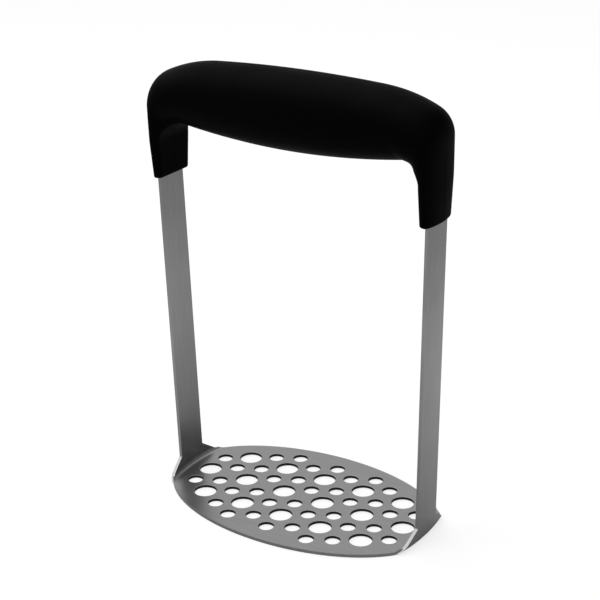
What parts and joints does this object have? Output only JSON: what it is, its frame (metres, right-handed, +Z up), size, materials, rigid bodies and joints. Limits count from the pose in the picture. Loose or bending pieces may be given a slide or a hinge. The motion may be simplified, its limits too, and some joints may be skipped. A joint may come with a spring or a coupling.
{
  "type": "potato masher",
  "caption": "Flat potato masher: a perforated oval plate bent up into two upright arms, with a black arched grip across their tops.",
  "frame": {"origin": "middle of the plate's underside, on the surface that the masher stands on", "axes": "+Z up from the plate to the grip; +X along the plate's long axis, from one arm to the other; +Y across the plate"},
  "size_m": [0.1352, 0.0782, 0.192],
  "materials": {
    "brushed_stainless": "fine satin",
    "core_plastic": "moulded",
    "grip_rubber": "soft matte moulded",
    "screw_steel": "plain zinc"
  },
  "bodies": {
    "root": {"masher_body": "brushed_stainless", "handle_core": "core_plastic", "soft_grip": "grip_rubber", "arm_screws": "screw_steel"}
  },
  "joints": []
}
